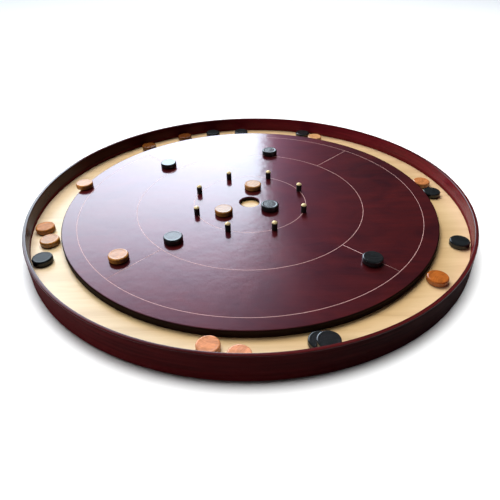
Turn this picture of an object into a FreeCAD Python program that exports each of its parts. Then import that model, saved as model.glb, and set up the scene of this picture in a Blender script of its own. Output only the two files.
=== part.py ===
import FreeCAD, Part
import math
import os

# A round crokinole board with its 26 playing discs, in millimetres.
# The origin is on the table under the middle of the board, and +Z is up.
# The four quadrants of the playing surface meet on the diagonals of X and Y.

INCH = 25.4

# Levels, from the table up
FOOT_HEIGHT = 5.0
BASE_THICKNESS = 12.0
SURFACE_THICKNESS = 12.0
RAIL_BOTTOM = 1.0
RAIL_HEIGHT = 1.75 * INCH

BASE_BOTTOM = FOOT_HEIGHT
DITCH_FLOOR = BASE_BOTTOM + BASE_THICKNESS
SURFACE_TOP = DITCH_FLOOR + SURFACE_THICKNESS

# Playing surface: 26 in across, with its edge rounded over
SURFACE_RADIUS = 13.0 * INCH
SURFACE_ROUNDING = 2.0

# Rail: a bent hoop round the base panel
RAIL_INNER_RADIUS = 380.3
RAIL_THICKNESS = 5.9
RAIL_TOP_ROUNDING = 1.5
RAIL_BOTTOM_ROUNDING = 1.0
BASE_GAP = 0.1
BASE_RADIUS = RAIL_INNER_RADIUS - BASE_GAP

# Centre hole: 1 3/8 in across, closed from below by a plug
HOLE_RADIUS = 17.5
HOLE_DEPTH = 0.25 * INCH
HOLE_LIP_ROUNDING = 1.5
PLUG_RADIUS = 20.0
PLUG_GAP = 0.05

# Posts: eight screws in sleeves on the 8 in circle
POST_COUNT = 8
POST_CIRCLE_RADIUS = 4.0 * INCH
POST_FIRST_ANGLE = 22.5
SLEEVE_RADIUS = 4.9
SLEEVE_BORE_RADIUS = 2.1
SLEEVE_HEIGHT = 13.0
SLEEVE_ROUNDING = 0.4
POST_HEAD_RADIUS = 4.9
POST_HEAD_HEIGHT = 3.0
POST_SHANK_RADIUS = 2.0
POST_DEPTH = 9.0
POST_SLOT_WIDTH = 0.9
POST_SLOT_DEPTH = 0.8
POST_SLOT_TURN = 53.0

# Screws that hold the surface to the base, from below
JOIN_SCREW_COUNT = 8
JOIN_CIRCLE_RADIUS = 230.0
JOIN_SCREW_LENGTH = 20.0

# Screws that hold the feet
FOOT_COUNT = 4
FOOT_CIRCLE_RADIUS = 335.0
FOOT_FIRST_ANGLE = 45.0
FOOT_TOP_RADIUS = 11.0
FOOT_BOTTOM_RADIUS = 9.5
FOOT_ROUNDING = 1.0
FOOT_RECESS_RADIUS = 4.3
FOOT_RECESS_DEPTH = 3.0
FOOT_SCREW_SINK = 0.8
FOOT_SCREW_END = 14.0

# Wood screws, both kinds
SCREW_RADIUS = 1.9
SCREW_HEAD_RADIUS = 3.9
SCREW_HEAD_HEIGHT = 2.2
SCREW_TIP = 2.5
SCREW_TIP_RADIUS = 0.3
SCREW_CLEARANCE = 0.1
CROSS_WIDTH = 0.8
CROSS_LENGTH = 3.8
CROSS_DEPTH = 1.2

# Headless pins through the rail into the edge of the base
PIN_COUNT = 16
PIN_RADIUS = 0.8
PIN_CLEARANCE = 0.05
PIN_INNER_RADIUS = 356.0
PIN_OUTER_RADIUS = 385.0
PIN_FIRST_ANGLE = 11.25

# Discs: 1 1/4 in across
DISC_RADIUS = 0.625 * INCH
DISC_THICKNESS = 9.5
DISC_ROUNDING = 2.4
DISC_GAP = 0.1

# Where play has left each disc: colour, distance from the middle, angle from +X
DISCS_ON_SURFACE = [
    ("black", 228, 136.5),
    ("black", 214, 77),
    ("natural", 54, 82.5),
    ("natural", 60, -141.5),
    ("black", 43, -35.5),
    ("black", 175, -136.5),
    ("natural", 265, -141),
    ("black", 262, -46.5),
    ("natural", 327, 167),
]
DISCS_IN_DITCH = [
    ("natural", 359, -170),
    ("natural", 349, -163),
    ("black", 363, -155),
    ("natural", 352, -100),
    ("natural", 364, -93.5),
    ("black", 353, -77),
    ("black", 362, -22),
    ("natural", 351, -40),
    ("black", 347, 5),
    ("natural", 347, 12),
    ("natural", 349, 62.5),
    ("black", 360, 68),
    ("black", 351, 92),
    ("black", 358, 103),
    ("natural", 362, 114),
    ("natural", 357, 129),
]
DISCS_ON_A_DISC = [("black", 364, -76)]

# How far a cutter runs past the face that it starts from
OVERRUN = 2.0
TOLERANCE = 1e-6

UP = FreeCAD.Vector(0, 0, 1)
ORIGIN = FreeCAD.Vector(0, 0, 0)


def at(radius, angle, z):
    """A point at a distance from the axis and an angle from +X, at a height."""
    turn = math.radians(angle)
    return FreeCAD.Vector(radius * math.cos(turn), radius * math.sin(turn), z)


def angles(count, first):
    """Angles spread evenly round the circle."""
    return [first + 360.0 * i / count for i in range(count)]


def cylinder(radius, bottom, top, centre=ORIGIN):
    """An upright cylinder between two heights."""
    foot = FreeCAD.Vector(centre.x, centre.y, bottom)
    return Part.makeCylinder(radius, top - bottom, foot, UP)


def cone(bottom_radius, top_radius, bottom, top, centre=ORIGIN):
    """An upright cone between two heights."""
    foot = FreeCAD.Vector(centre.x, centre.y, bottom)
    return Part.makeCone(bottom_radius, top_radius, top - bottom, foot, UP)


def rounded(solid, rounding, z, radius):
    """The solid with its circular edge of that height and radius rounded over."""
    edges = [
        edge
        for edge in solid.Edges
        if isinstance(edge.Curve, Part.Circle)
        and abs(edge.Curve.Center.z - z) < TOLERANCE
        and abs(edge.Curve.Radius - radius) < TOLERANCE
    ]
    return solid.makeFillet(rounding, edges)


def spoke(radius, inner, outer, angle, z):
    """A level cylinder that points away from the axis."""
    start = at(inner, angle, z)
    return Part.makeCylinder(radius, outer - inner, start, at(1, angle, 0))


def cross_recess(centre, z):
    """The cutter for a cross recess in a screw head that faces down."""
    half = CROSS_LENGTH / 2
    bar = Part.makeBox(
        CROSS_LENGTH,
        CROSS_WIDTH,
        CROSS_DEPTH,
        FreeCAD.Vector(centre.x - half, centre.y - CROSS_WIDTH / 2, z),
    )
    other = bar.copy()
    other.rotate(centre, UP, 90)
    return bar.fuse(other)


def join_places():
    return [at(JOIN_CIRCLE_RADIUS, a, 0) for a in angles(JOIN_SCREW_COUNT, 0.0)]


def foot_places():
    places = angles(FOOT_COUNT, FOOT_FIRST_ANGLE)
    return [at(FOOT_CIRCLE_RADIUS, a, 0) for a in places]


def post_places():
    places = angles(POST_COUNT, POST_FIRST_ANGLE)
    return [at(POST_CIRCLE_RADIUS, a, 0) for a in places]


def pin_angles():
    return angles(PIN_COUNT, PIN_FIRST_ANGLE)


def pin_level():
    return BASE_BOTTOM + BASE_THICKNESS / 2


def rail():
    """The hoop, with blind holes for its pins in the inner face."""
    outer = RAIL_INNER_RADIUS + RAIL_THICKNESS
    top = RAIL_BOTTOM + RAIL_HEIGHT
    hoop = cylinder(outer, RAIL_BOTTOM, top)
    hoop = hoop.cut(cylinder(RAIL_INNER_RADIUS, RAIL_BOTTOM, top))
    for radius in (RAIL_INNER_RADIUS, outer):
        hoop = rounded(hoop, RAIL_TOP_ROUNDING, top, radius)
        hoop = rounded(hoop, RAIL_BOTTOM_ROUNDING, RAIL_BOTTOM, radius)
    hole = PIN_RADIUS + PIN_CLEARANCE
    start = RAIL_INNER_RADIUS - OVERRUN
    for angle in pin_angles():
        hoop = hoop.cut(spoke(hole, start, PIN_OUTER_RADIUS, angle, pin_level()))
    return hoop


def base_panel():
    """The plywood panel whose rim is the floor of the ditch."""
    panel = cylinder(BASE_RADIUS, BASE_BOTTOM, DITCH_FLOOR)
    hole = SCREW_RADIUS + SCREW_CLEARANCE
    head = SCREW_HEAD_RADIUS + SCREW_CLEARANCE
    sink = BASE_BOTTOM + SCREW_HEAD_HEIGHT
    for place in join_places():
        panel = panel.cut(cylinder(hole, BASE_BOTTOM, DITCH_FLOOR, place))
        panel = panel.cut(cone(head, hole, BASE_BOTTOM, sink, place))
    for place in foot_places():
        panel = panel.cut(cylinder(hole, BASE_BOTTOM, FOOT_SCREW_END, place))
    pin_hole = PIN_RADIUS + PIN_CLEARANCE
    end = BASE_RADIUS + OVERRUN
    for angle in pin_angles():
        panel = panel.cut(spoke(pin_hole, PIN_INNER_RADIUS, end, angle, pin_level()))
    return panel


def playing_surface():
    """The round panel, bored for the centre hole, the posts and the screws."""
    panel = cylinder(SURFACE_RADIUS, DITCH_FLOOR, SURFACE_TOP)
    panel = rounded(panel, SURFACE_ROUNDING, SURFACE_TOP, SURFACE_RADIUS)
    floor = SURFACE_TOP - HOLE_DEPTH
    panel = panel.cut(cylinder(HOLE_RADIUS, DITCH_FLOOR, SURFACE_TOP))
    panel = panel.cut(cylinder(PLUG_RADIUS, DITCH_FLOOR, floor))
    panel = rounded(panel, HOLE_LIP_ROUNDING, SURFACE_TOP, HOLE_RADIUS)
    post_hole = POST_SHANK_RADIUS + SCREW_CLEARANCE
    for place in post_places():
        bottom = SURFACE_TOP - POST_DEPTH
        panel = panel.cut(cylinder(post_hole, bottom, SURFACE_TOP, place))
    hole = SCREW_RADIUS + SCREW_CLEARANCE
    end = BASE_BOTTOM + JOIN_SCREW_LENGTH
    for place in join_places():
        panel = panel.cut(cylinder(hole, DITCH_FLOOR, end, place))
    return panel


def hole_floor_plug():
    """The plug that closes the centre hole and is its floor."""
    top = SURFACE_TOP - HOLE_DEPTH
    return cylinder(PLUG_RADIUS - PLUG_GAP, DITCH_FLOOR, top - PLUG_GAP)


def post_sleeve(place):
    """The soft tube round a post's screw."""
    top = SURFACE_TOP + SLEEVE_HEIGHT
    tube = cylinder(SLEEVE_RADIUS, SURFACE_TOP, top, place)
    tube = rounded(tube, SLEEVE_ROUNDING, top, SLEEVE_RADIUS)
    return tube.cut(cylinder(SLEEVE_BORE_RADIUS, SURFACE_TOP, top, place))


def post_screw(place, slot_turn):
    """A round-head screw: a pointed shank and a domed, slotted head."""
    seat = SURFACE_TOP + SLEEVE_HEIGHT
    end = SURFACE_TOP - POST_DEPTH
    head_radius, height = POST_HEAD_RADIUS, POST_HEAD_HEIGHT
    dome_radius = (head_radius**2 + height**2) / (2 * height)
    middle = FreeCAD.Vector(place.x, place.y, seat + height - dome_radius)
    reach = head_radius + OVERRUN
    dome = Part.makeSphere(dome_radius, middle)
    head = dome.common(cylinder(reach, seat, seat + height, place))
    slot = Part.makeBox(
        2 * reach,
        POST_SLOT_WIDTH,
        POST_SLOT_DEPTH,
        FreeCAD.Vector(
            place.x - reach,
            place.y - POST_SLOT_WIDTH / 2,
            seat + height - POST_SLOT_DEPTH,
        ),
    )
    slot.rotate(place, UP, slot_turn)
    shank = cylinder(POST_SHANK_RADIUS, end + SCREW_TIP, seat, place)
    tip = cone(SCREW_TIP_RADIUS, POST_SHANK_RADIUS, end, end + SCREW_TIP, place)
    return head.cut(slot).fuse([shank, tip]).removeSplitter()


def join_screw(place):
    """A countersunk wood screw, head down and flush with the base."""
    seat = BASE_BOTTOM + SCREW_HEAD_HEIGHT
    end = BASE_BOTTOM + JOIN_SCREW_LENGTH
    head = cone(SCREW_HEAD_RADIUS, SCREW_RADIUS, BASE_BOTTOM, seat, place)
    shank = cylinder(SCREW_RADIUS, seat, end - SCREW_TIP, place)
    tip = cone(SCREW_RADIUS, SCREW_TIP_RADIUS, end - SCREW_TIP, end, place)
    screw = head.fuse([shank, tip]).removeSplitter()
    return screw.cut(cross_recess(place, BASE_BOTTOM))


def foot(place):
    """A tapered foot with a recess that sinks its screw's head."""
    pad = cone(FOOT_BOTTOM_RADIUS, FOOT_TOP_RADIUS, 0, FOOT_HEIGHT, place)
    pad = rounded(pad, FOOT_ROUNDING, 0, FOOT_BOTTOM_RADIUS)
    hole = SCREW_RADIUS + SCREW_CLEARANCE
    pad = pad.cut(cylinder(FOOT_RECESS_RADIUS, 0, FOOT_RECESS_DEPTH, place))
    return pad.cut(cylinder(hole, 0, FOOT_HEIGHT, place))


def foot_screw(place):
    """A flat-head screw through a foot into the base."""
    head = cylinder(SCREW_HEAD_RADIUS, FOOT_SCREW_SINK, FOOT_RECESS_DEPTH, place)
    taper = FOOT_SCREW_END - SCREW_TIP
    shank = cylinder(SCREW_RADIUS, FOOT_RECESS_DEPTH, taper, place)
    tip = cone(SCREW_RADIUS, SCREW_TIP_RADIUS, taper, FOOT_SCREW_END, place)
    screw = head.fuse([shank, tip]).removeSplitter()
    return screw.cut(cross_recess(place, FOOT_SCREW_SINK))


def rail_pin(angle):
    """A headless pin that ends inside the rail."""
    return spoke(PIN_RADIUS, PIN_INNER_RADIUS, PIN_OUTER_RADIUS, angle, pin_level())


def disc(radius, angle, bottom):
    """A playing disc, rounded over on both faces, lying flat."""
    centre = at(radius, angle, 0)
    top = bottom + DISC_THICKNESS
    solid = cylinder(DISC_RADIUS, bottom, top, centre)
    solid = rounded(solid, DISC_ROUNDING, top, DISC_RADIUS)
    return rounded(solid, DISC_ROUNDING, bottom, DISC_RADIUS)


def discs():
    """Every disc by name, numbered by colour in the order of the lists."""
    layers = [
        (DISCS_ON_SURFACE, SURFACE_TOP + DISC_GAP),
        (DISCS_IN_DITCH, DITCH_FLOOR + DISC_GAP),
        (DISCS_ON_A_DISC, DITCH_FLOOR + DISC_THICKNESS + 2 * DISC_GAP),
    ]
    count = {"black": 0, "natural": 0}
    named = {}
    for places, bottom in layers:
        for colour, radius, angle in places:
            count[colour] += 1
            named[f"{colour}_disc_{count[colour]}"] = disc(radius, angle, bottom)
    return named


def board():
    """Every fixed piece by name. Identical fasteners share a node."""
    named = {
        "rail": rail(),
        "base_panel": base_panel(),
        "playing_surface": playing_surface(),
        "hole_floor_plug": hole_floor_plug(),
        "assembly_screws": Part.makeCompound([join_screw(p) for p in join_places()]),
        "rubber_feet": Part.makeCompound([foot(p) for p in foot_places()]),
        "foot_screws": Part.makeCompound([foot_screw(p) for p in foot_places()]),
        "rail_pins": Part.makeCompound([rail_pin(a) for a in pin_angles()]),
    }
    for number, place in enumerate(post_places(), 1):
        named[f"post_sleeve_{number}"] = post_sleeve(place)
        named[f"post_screw_{number}"] = post_screw(place, POST_SLOT_TURN * number)
    return named


os.makedirs("parts", exist_ok=True)
for name, shape in {**board(), **discs()}.items():
    shape.exportStep(f"parts/{name}.step")
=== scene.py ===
import math
import random

import bmesh
import bpy
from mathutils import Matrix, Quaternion, Vector


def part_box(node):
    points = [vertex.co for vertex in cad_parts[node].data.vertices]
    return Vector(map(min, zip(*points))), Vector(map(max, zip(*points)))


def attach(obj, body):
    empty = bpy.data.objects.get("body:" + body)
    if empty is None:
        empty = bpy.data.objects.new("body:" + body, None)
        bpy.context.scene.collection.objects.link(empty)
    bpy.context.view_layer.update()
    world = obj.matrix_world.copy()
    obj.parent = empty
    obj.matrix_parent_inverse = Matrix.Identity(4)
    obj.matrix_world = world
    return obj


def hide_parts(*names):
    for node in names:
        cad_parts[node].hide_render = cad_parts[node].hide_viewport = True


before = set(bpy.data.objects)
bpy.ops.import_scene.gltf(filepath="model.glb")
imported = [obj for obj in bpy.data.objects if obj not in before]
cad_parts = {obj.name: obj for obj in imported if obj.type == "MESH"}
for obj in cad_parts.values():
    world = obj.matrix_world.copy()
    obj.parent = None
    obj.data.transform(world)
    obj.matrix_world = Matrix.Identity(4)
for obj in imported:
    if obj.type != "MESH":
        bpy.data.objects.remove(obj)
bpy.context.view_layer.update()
MM = 0.001

# Meshes: the radius in metres that counts as on the axis, and the sides of the large rings
ON_AXIS = 1e-7
RIM_SIDES = 288

# The board's levels and radii, read from the frame
SURFACE_LOW, SURFACE_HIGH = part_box("playing_surface")
SURFACE_TOP = SURFACE_HIGH.z
SURFACE_RADIUS = SURFACE_HIGH.x
DITCH_FLOOR = SURFACE_LOW.z
RAIL_LOW, RAIL_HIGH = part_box("rail")
BASE_GAP = 0.1 * MM
RAIL_INNER_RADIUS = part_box("base_panel")[1].x + BASE_GAP
PLUG_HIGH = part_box("hole_floor_plug")[1]
PLUG_OVERLAP = 2.5 * MM
HOLE_RADIUS = PLUG_HIGH.x - PLUG_OVERLAP
POST_CIRCLE_RADIUS = (sum(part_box("post_sleeve_1"), Vector()) / 2).xy.length
POST_COUNT = 8

# The camera: where it aims, and where it stands from there
VIEW_AIM = Vector((-3.7 * MM, -151.8 * MM, SURFACE_TOP))
VIEW_DISTANCE = 751.6 * MM
VIEW_AZIMUTH = -0.99
VIEW_ELEVATION = 35.46
VIEW_ROLL = -0.86
LENS = 34.43

# Light and floor: radiances, the lamps' colours, and the floor's half width in metres
WINDOW_RADIANCE = 8.2
KEY_RADIANCE = 11.0
FLOOR_RADIANCE = 14.0
LEFT_RADIANCE = 6.0
RIGHT_RADIANCE = 0.45
WORLD_STRENGTH = 0.04
WHITE = (1.0, 1.0, 1.0)
WARM_WHITE = (1.0, 0.99, 0.97)
ROSE = (1.0, 0.94, 0.97)
FLOOR_HALF_WIDTH = 6.0

# Discs: the tone and polish of each natural one, and the polish of the worn black ones
DISC_ROUNDING = 2.4 * MM
DISC_DISH = 0.15 * MM
NATURAL_LOOK = {
    1: ((0.29, 0.13, 0.040), 0.55),
    2: ((0.24, 0.10, 0.022), 0.85),
    3: ((0.35, 0.15, 0.034), 1.0),
    4: ((0.34, 0.14, 0.034), 0.65),
    5: ((0.35, 0.13, 0.030), 0.3),
    6: ((0.34, 0.14, 0.026), 0.75),
    7: ((0.50, 0.20, 0.085), 1.0),
    8: ((0.50, 0.21, 0.110), 1.0),
    9: ((0.31, 0.084, 0.013), 1.0),
    10: ((0.42, 0.155, 0.050), 1.0),
    11: ((0.46, 0.24, 0.105), 1.0),
    # Discs 12 and 13 sit in shade at the back left: their tones are darkened as painted shade
    12: ((0.075, 0.022, 0.005), 0.7),
    13: ((0.09, 0.028, 0.005), 0.7),
}
BLACK_POLISH = {6: 0.4, 7: 0.7, 8: 0.6, 9: 0.6, 11: 0.4, 12: 0.4}

rng = random.Random(26)


# Scene: camera, lights and floor


def direction(azimuth, elevation):
    """The unit vector from the board to a place round it. Azimuth 0 is at -Y."""
    a, e = math.radians(azimuth), math.radians(elevation)
    return Vector((math.sin(a) * math.cos(e), -math.cos(a) * math.cos(e), math.sin(e)))


def make_camera():
    data = bpy.data.cameras.new("camera")
    data.lens = LENS
    camera = bpy.data.objects.new("camera", data)
    bpy.context.scene.collection.objects.link(camera)
    back = direction(VIEW_AZIMUTH, VIEW_ELEVATION)
    camera.location = VIEW_AIM + back * VIEW_DISTANCE
    camera.rotation_mode = "QUATERNION"
    roll = Quaternion((0, 0, 1), math.radians(VIEW_ROLL))
    camera.rotation_quaternion = (-back).to_track_quat("-Z", "Y") @ roll
    bpy.context.scene.camera = camera


def area_light(name, azimuth, elevation, distance, size, radiance, colour=WHITE):
    """A rectangular soft light that faces the board and shines at that radiance."""
    data = bpy.data.lights.new(name, "AREA")
    data.shape = "RECTANGLE"
    data.size, data.size_y = size
    data.energy = math.pi * size[0] * size[1] * radiance
    data.color = colour
    light = bpy.data.objects.new(name, data)
    bpy.context.scene.collection.objects.link(light)
    towards = direction(azimuth, elevation)
    light.location = towards * distance
    light.rotation_mode = "QUATERNION"
    light.rotation_quaternion = (-towards).to_track_quat("-Z", "Y")
    return light


def make_window():
    """A wide window past the far edge: bright and sharp-sided low down, dim and soft above.

    A faint pink haze lies past its right side.
    """
    middle, height = 195.5, 28.0
    distance, size = 12.0, (13.6, 9.7)
    light = area_light("window", middle, height, distance, size, WINDOW_RADIANCE)
    n = LightNodes(light)

    def across(azimuth):
        """Where on the window's width an azimuth from +Y is, toward +X."""
        return 0.5 + distance * math.tan(math.radians(azimuth + middle - 180)) / size[0]

    def up(elevation):
        """Where on the window's height an elevation is."""
        return 0.5 + distance * math.tan(math.radians(elevation - height)) / size[1]

    flipped_u, v, _ = n.add("SeparateXYZ", Vector=n.add("NewGeometry").outputs["Parametric"]).outputs
    u = n.math("SUBTRACT", 1.0, flipped_u)
    glow = n.ramp(
        v,
        [
            (up(8), (0.20, 0.25, 0.31)),
            (up(19), (0.70, 0.87, 1.0)),
            (up(29), (0.75, 0.93, 1.03)),
            (up(33), (0.66, 0.76, 0.88)),
            (up(36), (0.50, 0.54, 0.64)),
            (up(39), (0.38, 0.36, 0.44)),
            (up(42), (0.22, 0.19, 0.24)),
            (up(49), (0.02, 0.02, 0.03)),
        ],
    )
    blur = n.ramp(v, [(up(20), 0.022), (up(28), 0.008), (up(34), 0.05), (up(40), 0.13)])
    edge = n.ramp(v, [(up(21), across(1.9)), (up(28), across(1.0)), (up(40), across(-1.0))])
    side = n.add(
        "MapRange",
        {"interpolation_type": "SMOOTHSTEP"},
        Value=u,
        From_Min=n.math("SUBTRACT", edge, blur),
        From_Max=n.math("ADD", edge, blur),
        To_Min=1.0,
        To_Max=0.0,
    )
    haze = n.ramp(
        u,
        [
            (across(-2), 0.0),
            (across(3), (0.050, 0.028, 0.040)),
            (across(8), (0.020, 0.007, 0.010)),
            (across(13), 0.004),
        ],
    )
    left = n.ramp(
        u,
        [
            (0.0, 0.5),
            (across(-28), 0.62),
            (across(-20), 0.76),
            (across(-10), 0.93),
            (across(-3), 1.0),
        ],
    )
    low = n.ramp(v, [(up(20), 1.0), (up(30), 0.45)])
    lit = n.math("MULTIPLY", side.outputs[0], left)
    veil = n.mix(1.0, haze, low, "MULTIPLY")
    n.out(Color=n.mix(1.0, n.mix(1.0, glow, lit, "MULTIPLY"), veil, "ADD"), Strength=1.0)


def link_floor(light, floor, state):
    """Make the light shine on the floor only, or on all but the floor."""
    receivers = bpy.data.collections.new(light.name + "_receivers")
    receivers.objects.link(floor)
    receivers.collection_objects[0].light_linking.link_state = state
    light.light_linking.receiver_collection = receivers


def make_lights(floor):
    """The window, a key light behind the board, two fills, and a light of the floor's own."""
    make_window()
    key = area_light("key", 204, 64, 3.2, (2.8, 2.0), KEY_RADIANCE, WARM_WHITE)
    key.visible_glossy = False
    link_floor(key, floor, "EXCLUDE")
    top = area_light("floor_top", 180, 81, 3.2, (2.4, 1.6), FLOOR_RADIANCE)
    link_floor(top, floor, "INCLUDE")
    left = area_light("fill_left", -68, 22, 5.0, (3.6, 1.8), LEFT_RADIANCE, ROSE)
    left.visible_glossy = False
    link_floor(left, floor, "EXCLUDE")
    right = area_light("fill_right", 45, 22, 5.0, (3.6, 1.8), RIGHT_RADIANCE, ROSE)
    right.visible_diffuse = False
    world = bpy.data.worlds.new("studio")
    world.use_nodes = True
    background = world.node_tree.nodes["Background"]
    background.inputs["Color"].default_value = (*WHITE, 1.0)
    background.inputs["Strength"].default_value = WORLD_STRENGTH
    bpy.context.scene.world = world


def make_floor():
    """A matt pale floor at the feet's level. It shows in reflections but lights nothing."""
    mesh = bpy.data.meshes.new("floor")
    half = FLOOR_HALF_WIDTH
    corners = [(-half, -half, 0), (half, -half, 0), (half, half, 0), (-half, half, 0)]
    mesh.from_pydata(corners, [], [(0, 1, 2, 3)])
    floor = bpy.data.objects.new("floor", mesh)
    bpy.context.scene.collection.objects.link(floor)
    material = bpy.data.materials.new("pale_floor")
    material.use_nodes = True
    shader = material.node_tree.nodes["Principled BSDF"]
    shader.inputs["Base Color"].default_value = (0.9, 0.9, 0.9, 1)
    shader.inputs["Roughness"].default_value = 0.9
    shader.inputs["Specular IOR Level"].default_value = 0.1
    mesh.materials.append(material)
    floor.visible_diffuse = False
    return floor


# Materials


class Nodes:
    """A short way to write a Principled material's node tree."""

    def __init__(self, name, **sockets):
        self.material = bpy.data.materials.new(name)
        self.material.use_nodes = True
        self.tree = self.material.node_tree
        self.shader = self.tree.nodes["Principled BSDF"]
        for socket, value in sockets.items():
            self.set(self.shader, socket.replace("_", " "), value)

    def set(self, node, socket, value):
        """Link an output to the socket, or put a plain value on it."""
        target = node.inputs[socket]
        if isinstance(value, bpy.types.NodeSocket):
            self.tree.links.new(value, target)
        elif isinstance(value, tuple) and target.type == "RGBA":
            target.default_value = (*value, 1.0)
        else:
            target.default_value = value

    def add(self, kind, settings=(), **inputs):
        """A node with settings of its own and values on its sockets."""
        node = self.tree.nodes.new("ShaderNode" + kind)
        for key, value in dict(settings).items():
            setattr(node, key, value)
        for socket, value in inputs.items():
            self.set(node, socket.replace("_", " "), value)
        return node

    def place(self, scale, turn=0.0, shift=(0, 0, 0)):
        """The object's own coordinates, turned about Z, shifted and scaled."""
        coordinates = self.add("TexCoord").outputs["Object"]
        spin = self.add("Mapping", Vector=coordinates, Rotation=(0, 0, math.radians(turn)))
        sized = self.add("Mapping", Vector=spin.outputs[0], Location=shift, Scale=scale)
        return sized.outputs[0]

    def reach(self, x, y):
        """The distance from the Z axis."""
        return self.math("SQRT", self.math("ADD", self.math("MULTIPLY", x, x), self.math("MULTIPLY", y, y)))

    def rings(self, turn, shift):
        """Coordinates for growth rings: distance from a pith, way round it, and height."""
        x, y, z = self.add("SeparateXYZ", Vector=self.place((1, 1, 1), turn, shift)).outputs
        across = self.math("MULTIPLY", self.reach(x, y), 420.0)
        around = self.math("ARCTAN2", y, x)
        along = self.math("MULTIPLY", z, 60.0)
        return self.add("CombineXYZ", X=across, Y=around, Z=along).outputs[0]

    def noise(self, where, detail=4.0, roughness=0.55, distortion=0.0):
        node = self.add(
            "TexNoise",
            Vector=where,
            Scale=1.0,
            Detail=detail,
            Roughness=roughness,
            Distortion=distortion,
        )
        return node.outputs[0]

    def ramp(self, factor, stops):
        """Colours or greys at places from 0 to 1."""
        node = self.add("ValToRGB", Fac=factor)
        band = node.color_ramp
        while len(band.elements) < len(stops):
            band.elements.new(0.5)
        for element, (place, colour) in zip(band.elements, stops):
            rgb = colour if isinstance(colour, tuple) else (colour,) * 3
            element.position, element.color = place, (*rgb, 1.0)
        return node.outputs[0]

    def mix(self, factor, a, b, blend="MIX"):
        """Two colours mixed. The node's colour sockets are found by their index."""
        node = self.add("Mix", {"data_type": "RGBA", "blend_type": blend})
        self.set(node, 0, factor)
        self.set(node, 6, a)
        self.set(node, 7, b)
        return node.outputs[2]

    def math(self, operation, a, b=0.0, c=0.0):
        node = self.add("Math", {"operation": operation})
        for index, value in enumerate((a, b, c)):
            self.set(node, index, value)
        return node.outputs[0]

    def bump(self, height, distance, strength=1.0):
        node = self.add("Bump", Height=height, Distance=distance, Strength=strength)
        return node.outputs[0]

    def out(self, **sockets):
        """Set the shader's sockets and give back the material."""
        for socket, value in sockets.items():
            self.set(self.shader, socket.replace("_", " "), value)
        return self.material


class LightNodes(Nodes):
    """The same for an area light's tree."""

    def __init__(self, light):
        self.material = light.data
        light.data.use_nodes = True
        self.tree = light.data.node_tree
        self.shader = self.tree.nodes["Emission"]


def stained_board():
    """Burgundy stain in fine wood grain along X, under a thick red-tinted gloss lacquer."""
    n = Nodes(
        "stained_board",
        Specular_IOR_Level=0.38,
        Coat_Weight=1.0,
        Coat_Roughness=0.115,
        Coat_IOR=1.5,
        Coat_Tint=(0.88, 0.45, 0.60),
    )
    blotch = n.noise(n.place((11, 19, 11)), detail=5, roughness=0.6, distortion=0.9)
    streak = n.noise(n.place((7, 190, 60)), detail=5, roughness=0.6, distortion=0.3)
    pores = n.noise(n.place((60, 1500, 700)), detail=2)
    stain = n.ramp(
        streak,
        [
            (0.25, (0.031, 0.0074, 0.0062)),
            (0.52, (0.0385, 0.0090, 0.0076)),
            (0.8, (0.047, 0.0110, 0.0090)),
        ],
    )
    cloud = n.ramp(blotch, [(0.3, (0.50, 0.56, 0.84)), (0.7, (1.48, 1.34, 1.10))])
    tone = n.mix(1.0, stain, cloud, "MULTIPLY")
    pore_mask = n.ramp(pores, [(0.62, 0.0), (0.72, 0.6)])
    wave = n.noise(n.place((55, 55, 55)), detail=2)
    return n.out(
        Base_Color=n.mix(pore_mask, tone, (0.02, 0.010, 0.009)),
        Roughness=n.ramp(streak, [(0.2, 0.32), (0.8, 0.40)]),
        Normal=n.bump(streak, 0.00015, 0.5),
        Coat_Normal=n.bump(wave, 0.0005, 0.35),
    )


def stained_rail(name, lacquer, gloss, painted_side_light, worn=1.0):
    """The same stain on a bent hoop, with the grain round the hoop.

    The pair of tone factors is painted light: it darkens the tone toward -X, as shade, and lightens it
    toward +X, as lit; worn scales the lacquer at the back.
    """
    n = Nodes(
        name,
        Specular_IOR_Level=0.0,
        Coat_Roughness=gloss,
        Coat_IOR=1.5,
    )
    x, y, z = n.add("SeparateXYZ", Vector=n.add("TexCoord").outputs["Object"]).outputs
    turn = n.math("ARCTAN2", y, x)
    along = n.add("CombineXYZ", X=turn, Y=n.reach(x, y), Z=z).outputs[0]
    figure = n.add("Mapping", Vector=along, Scale=(3.0, 160, 170)).outputs[0]
    streak = n.noise(figure, detail=5, roughness=0.6, distortion=0.4)
    fine = n.add("Mapping", Vector=along, Scale=(24, 900, 1100)).outputs[0]
    pores = n.noise(fine, detail=2)
    blotch = n.noise(n.place((9, 9, 30)), detail=3)
    wave = n.noise(n.place((60, 60, 60)), detail=2)
    stain = n.ramp(
        streak,
        [
            (0.25, (0.050, 0.0050, 0.0058)),
            (0.52, (0.076, 0.0072, 0.0082)),
            (0.8, (0.102, 0.0108, 0.0112)),
        ],
    )
    cloud = n.ramp(blotch, [(0.3, 0.82), (0.7, 1.15)])
    # Painted light: the tone is shaded toward -X and lit toward +X
    rightward = n.math("MULTIPLY_ADD", x, 1.3, 0.5)
    shade = n.ramp(rightward, [(0.1, painted_side_light[0]), (0.9, painted_side_light[1])])
    tone = n.mix(1.0, n.mix(1.0, stain, cloud, "MULTIPLY"), shade, "MULTIPLY")
    pore_mask = n.ramp(pores, [(0.62, 0.0), (0.74, 0.6)])
    coat = lacquer
    if worn < 1.0:
        backward = n.math("MULTIPLY_ADD", n.math("MULTIPLY_ADD", x, -0.13, y), 5.0, -0.5)
        coat = n.ramp(backward, [(0.3, lacquer), (0.6, lacquer * worn)])
    return n.out(
        Base_Color=n.mix(pore_mask, tone, (0.016, 0.003, 0.004)),
        Roughness=n.ramp(streak, [(0.2, 0.4), (0.8, 0.55)]),
        Normal=n.bump(streak, 0.00015, 0.5),
        Coat_Weight=coat,
        Coat_Normal=n.bump(wave, 0.0003, 0.3),
    )


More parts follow.
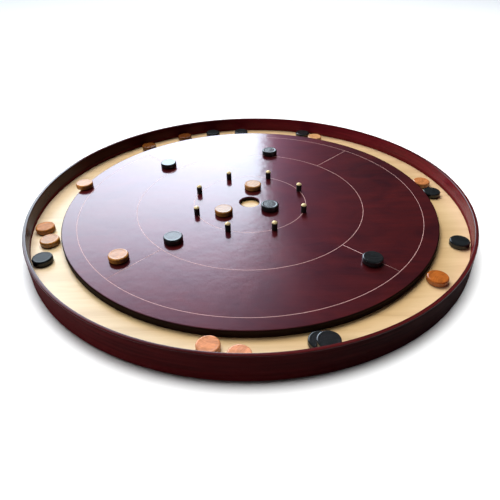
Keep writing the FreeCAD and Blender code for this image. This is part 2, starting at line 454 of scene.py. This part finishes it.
def maple_ply(name="maple_ply", gloss=0.28):
    """Pale maple veneer with long fine grain along X and a satin coat.

    It is darker and yellower round the middle and palest by the rail: painted shade by the surface's edge
    and a painted glow by the rail. It is also palest at the front left, where a painted glare whitens it.
    """
    n = Nodes(
        name,
        Specular_IOR_Level=0.5,
        Coat_Weight=0.9,
        Coat_Roughness=gloss,
        Coat_IOR=1.5,
    )
    figure = n.noise(n.place((3.5, 42, 30)), detail=6, roughness=0.6, distortion=1.2)
    fibre = n.noise(n.place((30, 700, 500)), detail=3)
    cloud = n.noise(n.place((5, 8, 8)), detail=3)
    base = n.ramp(
        figure,
        [(0.28, (0.42, 0.29, 0.155)), (0.5, (0.50, 0.362, 0.205)), (0.78, (0.56, 0.42, 0.255))],
    )
    patches = n.ramp(cloud, [(0.3, (0.92, 0.9, 0.86)), (0.7, (1.06, 1.05, 1.04))])
    shade = n.mix(1.0, base, patches, "MULTIPLY")
    colour = n.mix(n.ramp(fibre, [(0.55, 0.0), (0.8, 0.3)]), shade, (0.38, 0.235, 0.105))
    x, y, _ = n.add("SeparateXYZ", Vector=n.add("TexCoord").outputs["Object"]).outputs
    # Painted shade and glow: darker and yellower by the surface's edge, where its shade falls, and paler by
    # the rail, standing in for the light there
    outward = n.math("MULTIPLY_ADD", n.reach(x, y), 20.0, -6.6)
    painted_shade_and_glow = n.ramp(
        outward,
        [(0.1, (0.98, 0.93, 0.78)), (0.5, (1.04, 1.03, 0.97)), (0.95, (1.14, 1.12, 1.16))],
    )
    # Painted glare: paler and bluer toward the front left, standing in for the window's glare on the coat
    front_left = n.math("MULTIPLY_ADD", x, -1.7, n.math("MULTIPLY_ADD", y, -1.0, 0.2))
    painted_glare = n.ramp(front_left, [(0.4, 1.0), (0.92, (1.16, 1.29, 1.52))])
    shaded_and_glowing = n.mix(1.0, colour, painted_shade_and_glow, "MULTIPLY")
    return n.out(
        Base_Color=n.mix(1.0, shaded_and_glowing, painted_glare, "MULTIPLY"),
        Roughness=n.ramp(figure, [(0.2, 0.45), (0.8, 0.6)]),
        Normal=n.bump(fibre, 0.0001, 0.4),
    )


def turned_wood(name, tone, polish, turn, shift):
    """Polished hardwood of one disc: growth rings as arcs, and a mottled top."""
    n = Nodes(
        name,
        Specular_IOR_Level=0.0,
        Coat_Weight=polish,
        Coat_Roughness=0.14,
        Coat_IOR=1.68,
    )
    rings = n.noise(n.rings(turn, shift), detail=4, roughness=0.6, distortion=0.3)
    mottle = n.noise(n.place((170, 170, 170), turn, shift), detail=3)
    pores = n.noise(n.place((600, 2400, 1400), turn, shift), detail=2)
    dark = tuple(0.68 * c for c in tone)
    light = tuple(min(1.0, 1.25 * c) for c in tone)
    pit = tuple(0.45 * c for c in tone)
    base = n.ramp(rings, [(0.3, dark), (0.5, tone), (0.72, light)])
    cloud = n.mix(1.0, base, n.ramp(mottle, [(0.35, 0.84), (0.65, 1.14)]), "MULTIPLY")
    return n.out(
        Base_Color=n.mix(n.ramp(pores, [(0.6, 0.0), (0.75, 0.3)]), cloud, pit),
        Roughness=n.ramp(rings, [(0.2, 0.30), (0.8, 0.42)]),
        Normal=n.bump(rings, 0.00006, 0.5),
        Coat_Normal=n.bump(mottle, 0.00025, 0.4),
    )


def black_wood(name, polish, turn, shift):
    """A black-stained disc: rings and scuffs show faintly under the polish."""
    n = Nodes(
        name,
        Specular_IOR_Level=0.0,
        Coat_Weight=polish,
        Coat_Roughness=0.14,
        Coat_IOR=1.68,
    )
    rings = n.noise(n.rings(turn, shift), detail=4, roughness=0.6, distortion=0.3)
    scuff = n.noise(n.place((260, 260, 260), turn, shift), detail=3)
    wave = n.noise(n.place((170, 170, 170), turn, shift), detail=3)
    base = n.ramp(rings, [(0.3, (0.0045, 0.0058, 0.0065)), (0.7, (0.0125, 0.0150, 0.0165))])
    return n.out(
        Base_Color=n.mix(n.ramp(scuff, [(0.6, 0.0), (0.8, 0.3)]), base, (0.030, 0.042, 0.046)),
        Roughness=n.ramp(scuff, [(0.3, 0.28), (0.75, 0.45)]),
        Normal=n.bump(rings, 0.00008, 0.6),
        Coat_Normal=n.bump(wave, 0.00025, 0.4),
    )


def soft_rubber(name, colour, roughness):
    """Moulded rubber with a fine grain and a little bloom."""
    n = Nodes(name, Specular_IOR_Level=0.45)
    bloom = n.noise(n.place((420, 420, 420)), detail=4)
    grit = n.noise(n.place((3200, 3200, 3200)), detail=2)
    dusty = tuple(min(1.0, 2.6 * c + 0.004) for c in colour)
    return n.out(
        Base_Color=n.ramp(bloom, [(0.35, colour), (0.8, dusty)]),
        Roughness=n.ramp(bloom, [(0.3, roughness), (0.8, roughness + 0.2)]),
        Normal=n.bump(grit, 0.00002, 0.6),
    )


def bright_metal(name, dark, light, roughness, metallic):
    """Turned metal with faint tarnish and fine marks."""
    n = Nodes(name, Metallic=metallic)
    tarnish = n.noise(n.place((330, 330, 330)), detail=4)
    marks = n.noise(n.place((5200, 5200, 400)), detail=2)
    return n.out(
        Base_Color=n.ramp(tarnish, [(0.3, dark), (0.65, light)]),
        Roughness=n.ramp(tarnish, [(0.3, roughness + 0.12), (0.7, roughness)]),
        Normal=n.bump(marks, 0.00001, 0.5),
    )


def dark_edge():
    """A near-black, low-gloss finish for the surface's side, rounded rim, underside and hole wall."""
    n = Nodes("dark_edge", Specular_IOR_Level=0.0, Coat_Weight=0.15, Coat_Roughness=0.3)
    layers = n.noise(n.place((40, 40, 900)), detail=4)
    return n.out(
        Base_Color=n.ramp(layers, [(0.3, (0.006, 0.0025, 0.002)), (0.7, (0.016, 0.006, 0.0045))]),
        Roughness=n.ramp(layers, [(0.3, 0.5), (0.7, 0.7)]),
        Normal=n.bump(layers, 0.00008, 0.5),
    )


def line_ink():
    """Pale pinkish line paint, slightly worn."""
    n = Nodes("line_ink", Specular_IOR_Level=0.2, Coat_Weight=0.45, Coat_Roughness=0.2, Roughness=0.5)
    wear = n.noise(n.place((120, 120, 120)), detail=3)
    return n.out(Base_Color=n.ramp(wear, [(0.3, (0.40, 0.225, 0.21)), (0.7, (0.46, 0.27, 0.26))]))


# Mesh building


def mesh_piece(name, bm, material):
    """A smooth-shaded object from a bmesh, at the origin."""
    bmesh.ops.recalc_face_normals(bm, faces=bm.faces)
    mesh = bpy.data.meshes.new(name)
    bm.to_mesh(mesh)
    bm.free()
    for polygon in mesh.polygons:
        polygon.use_smooth = True
    mesh.materials.append(material)
    piece = bpy.data.objects.new(name, mesh)
    bpy.context.scene.collection.objects.link(piece)
    return piece


def arc(centre, radius, start, end, steps=6, height=None):
    """Points (r, z) on an arc, with angles in degrees from the outward direction.

    A height of its own makes it part of an ellipse.
    """
    height = height or radius
    turns = [math.radians(start + (end - start) * i / steps) for i in range(steps + 1)]
    return [(centre[0] + radius * math.cos(t), centre[1] + height * math.sin(t)) for t in turns]


def lathe(name, outline, material, centre=(0.0, 0.0), sides=96, closed=False):
    """A solid of revolution. The outline is (r, z) points, from axis to axis or a loop."""
    bm = bmesh.new()
    rings = []
    for r, z in outline:
        if r < ON_AXIS:
            rings.append([bm.verts.new((centre[0], centre[1], z))])
            continue
        ring = []
        for i in range(sides):
            turn = 2 * math.pi * i / sides
            ring.append(bm.verts.new((centre[0] + r * math.cos(turn), centre[1] + r * math.sin(turn), z)))
        rings.append(ring)
    pairs = list(zip(rings, rings[1:]))
    if closed:
        pairs.append((rings[-1], rings[0]))
    for lower, upper in pairs:
        for i in range(sides):
            j = (i + 1) % sides
            quad = [lower[i % len(lower)], lower[j % len(lower)]]
            quad += [upper[j % len(upper)], upper[i % len(upper)]]
            corners = list(dict.fromkeys(quad))
            bm.faces.new(corners)
    return mesh_piece(name, bm, material)


def paint(piece, material, wanted):
    """Give a further material to the faces whose centre and normal pass the test."""
    piece.data.materials.append(material)
    for polygon in piece.data.polygons:
        if wanted(polygon.center, polygon.normal):
            polygon.material_index = len(piece.data.materials) - 1


# Pieces


def is_dark_edge(centre, normal):
    """The surface's side and rounded rim, its underside and its hole's wall."""
    by_the_rim = centre.xy.length > SURFACE_RADIUS / 2
    return normal.z < (0.93 if by_the_rim else 0.1)


def make_surface(material, edge_material):
    """The playing surface: hole wall, lip, face, rounded edge, side and underside.

    Points just before and after each curve keep the flat and straight parts evenly shaded.
    """
    top, bottom = SURFACE_TOP, DITCH_FLOOR
    lip, lip_height, edge, chamfer = 3.0 * MM, 1.2 * MM, 2.0 * MM, 0.4 * MM
    clearance, margin = 0.05 * MM, 1.0 * MM
    ledge, pocket = PLUG_HIGH.z + clearance, PLUG_HIGH.x + clearance
    outline = [(pocket, bottom), (pocket, ledge), (HOLE_RADIUS, ledge)]
    outline += [(HOLE_RADIUS, ledge + 0.3 * MM), (HOLE_RADIUS, top - lip_height - 0.3 * MM)]
    outline += arc((HOLE_RADIUS + lip, top - lip_height), lip, 180, 90, 10, lip_height)
    outline += [(HOLE_RADIUS + lip + margin, top)]
    outline += [(r * MM, top) for r in range(40, 311, 30)]
    outline += [(SURFACE_RADIUS - edge - margin, top)]
    outline += arc((SURFACE_RADIUS - edge, top - edge), edge, 90, 0)
    outline += [(SURFACE_RADIUS, top - edge - 0.6 * MM), (SURFACE_RADIUS, bottom + 0.5 * MM)]
    outline += [(SURFACE_RADIUS - chamfer, bottom)]
    outline += [(r * MM, bottom) for r in (250, 150, 60, 21)]
    piece = lathe("lacquered_surface", outline, material, sides=RIM_SIDES, closed=True)
    paint(piece, edge_material, is_dark_edge)
    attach(piece, "board")
    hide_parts("playing_surface")


def is_inner_wall(centre, normal):
    """The rail's inside above the ditch floor."""
    return normal.dot(centre) < 0 and centre.z > DITCH_FLOOR


def is_crown(_, normal):
    """The rail's top with both its roundings."""
    return normal.z > 0.3


def is_crown_lip(centre, normal):
    """The inner rounding of the rail's top."""
    return 0.3 < normal.z < 0.97 and normal.dot(centre) < centre.z


def make_rail(outside, inside, crown, lip):
    """The hoop, rounded over at the top and eased at the bottom, in four materials."""
    low, high = RAIL_LOW.z, RAIL_HIGH.z
    inner, outer = RAIL_INNER_RADIUS, RAIL_HIGH.x
    big, small, margin = 1.5 * MM, 1.0 * MM, 0.6 * MM
    wall = (low + small + margin, (low + high) / 2, high - big - margin)
    outline = arc((inner + small, low + small), small, 270, 180, 4)
    outline += [(inner, z) for z in wall]
    outline += arc((inner + big, high - big), big, 180, 90)
    outline += arc((outer - big, high - big), big, 90, 0)
    outline += [(outer, z) for z in reversed(wall)]
    outline += arc((outer - small, low + small), small, 360, 270, 4)
    piece = lathe("bent_rail", outline, outside, sides=RIM_SIDES, closed=True)
    paint(piece, inside, is_inner_wall)
    paint(piece, crown, is_crown)
    paint(piece, lip, is_crown_lip)
    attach(piece, "board")
    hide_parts("rail")


def disc_material(name, colour, number, middle):
    """The disc's own wood: its tone and polish by number, its grain at random."""
    turn = rng.uniform(0, 360)
    pith = Vector((rng.uniform(-30, 30) * MM, rng.uniform(12, 30) * MM, 0.0))
    spun = Quaternion((0, 0, 1), math.radians(turn)) @ middle
    shift = (pith.x - spun.x, pith.y - spun.y, 0.0)
    if colour == "black":
        return black_wood(name, BLACK_POLISH.get(number, 1.0), turn, shift)
    warm = rng.uniform(0.95, 1.05)
    tone, polish = NATURAL_LOOK[number]
    return turned_wood(name, tuple(warm * c for c in tone), polish, turn, shift)


def make_discs():
    """Each disc with a faint dish in both faces and its own grain."""
    for node in sorted(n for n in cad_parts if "_disc_" in n):
        low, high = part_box(node)
        middle = (low + high) / 2
        radius = (high.x - low.x) / 2
        name = node.replace("disc", "puck")
        colour, _, number = node.split("_")
        material = disc_material(name, colour, int(number), middle)
        shoulder = radius - DISC_ROUNDING
        inner, slope = shoulder - 0.3 * MM, 1.6 * MM
        top, dished = high.z, high.z - DISC_DISH
        upper = [(radius, top - DISC_ROUNDING - 0.4 * MM)]
        upper += arc((shoulder, top - DISC_ROUNDING), DISC_ROUNDING, 0, 90, 9)
        upper += [(inner, top), (inner - slope, dished)]
        upper += [(share * inner, dished) for share in (0.78, 0.5, 0.2, 0)]
        lower = [(r, 2 * middle.z - z) for r, z in reversed(upper)]
        piece = lathe(name, lower + upper, material, (middle.x, middle.y), sides=96)
        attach(piece, node)
        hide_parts(node)


def make_sleeves(material):
    """Each post's tube, a little fuller in its middle and rolled at its top edge.

    The pinches are shares of its height, each with how many mm the tube draws in there.
    """
    bore, roll, foot = 2.1 * MM, 0.4 * MM, 0.15 * MM
    pinches = ((0.03, 0.06), (0.25, 0.02), (0.5, 0.0), (0.75, 0.03), (0.93, 0.08))
    for number in range(1, POST_COUNT + 1):
        node = f"post_sleeve_{number}"
        low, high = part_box(node)
        x, y = (low.x + high.x) / 2, (low.y + high.y) / 2
        radius, height = (high.x - low.x) / 2, high.z - low.z
        outline = [(bore, low.z), (radius - foot, low.z)]
        outline += [(radius - pinch * MM, low.z + share * height) for share, pinch in pinches]
        outline += arc((radius - roll - 0.1 * MM, high.z - roll), roll, 0, 90, 4)
        outline += [(bore, high.z)]
        piece = lathe(f"post_tube_{number}", outline, material, (x, y), sides=48, closed=True)
        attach(piece, "board")
        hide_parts(node)


def line_profile():
    """The section of a painted line: (across, up) from the line's middle on the surface."""
    half, sunk, proud = 0.4 * MM, 0.15 * MM, 0.03 * MM
    side = [(half, -sunk), (half, proud / 2), (half * 0.8, proud)]
    return [(-across, up) for across, up in side] + [(across, up) for across, up in reversed(side)]


def straight_line(name, start, end, angle, material):
    """A painted line along a radius."""
    bm = bmesh.new()
    turn = math.radians(angle)
    rings = []
    for along in (start, end):
        ring = []
        for side, up in line_profile():
            x = along * math.cos(turn) - side * math.sin(turn)
            y = along * math.sin(turn) + side * math.cos(turn)
            ring.append(bm.verts.new((x, y, SURFACE_TOP + up)))
        rings.append(ring)
    count = len(rings[0])
    for i in range(count):
        j = (i + 1) % count
        bm.faces.new((rings[0][i], rings[0][j], rings[1][j], rings[1][i]))
    for ring in rings:
        bm.faces.new(ring)
    return mesh_piece(name, bm, material)


def make_lines(material):
    """Three scoring circles and four quadrant lines, a hair proud of the lacquer."""
    inner, middle, outer = POST_CIRCLE_RADIUS, 2 * POST_CIRCLE_RADIUS, 3 * POST_CIRCLE_RADIUS
    for name, radius in (("outer", outer), ("middle", middle), ("inner", inner)):
        outline = [(radius + across, SURFACE_TOP + up) for across, up in line_profile()]
        piece = lathe(f"score_circle_{name}", outline, material, sides=RIM_SIDES, closed=True)
        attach(piece, "board")
    for number, angle in enumerate((45, 135, 225, 315), start=1):
        piece = straight_line(f"quadrant_line_{number}", middle, outer, angle, material)
        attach(piece, "board")


def finish_nodes():
    """Detailed materials for the CAD nodes that stay in view."""
    steel = bright_metal("zinc_steel", (0.36, 0.36, 0.35), (0.62, 0.62, 0.60), 0.3, 0.9)
    brass = bright_metal("brass", (0.86, 0.66, 0.34), (1.0, 0.84, 0.48), 0.34, 0.55)
    chosen = {
        "base_panel": maple_ply(),
        "hole_floor_plug": maple_ply("plug_maple", 0.3),
        "assembly_screws": steel,
        "foot_screws": steel,
        "rail_pins": steel,
        "rubber_feet": soft_rubber("foot_rubber", (0.012, 0.012, 0.012), 0.6),
    }
    for number in range(1, POST_COUNT + 1):
        chosen[f"post_screw_{number}"] = brass
    for node, material in chosen.items():
        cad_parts[node].material_slots[0].material = material


bpy.context.scene.view_settings.view_transform = "Standard"
make_camera()
make_lights(make_floor())
make_surface(stained_board(), dark_edge())
# Each rail material's pair of tone factors is painted light, from shaded at -X to lit at +X
make_rail(
    stained_rail("rail_outside", 0.045, 0.22, (1.15, 1.3)),
    stained_rail("rail_inside", 0.35, 0.2, (0.45, (1.65, 1.25, 2.0)), 0.3),
    stained_rail("rail_crown", 1.0, 0.14, (0.5, 0.9), 0.1),
    stained_rail("rail_lip", 1.0, 0.12, (0.3, 0.6), 0.1),
)
make_discs()
make_sleeves(soft_rubber("post_rubber", (0.006, 0.006, 0.006), 0.35))
make_lines(line_ink())
finish_nodes()
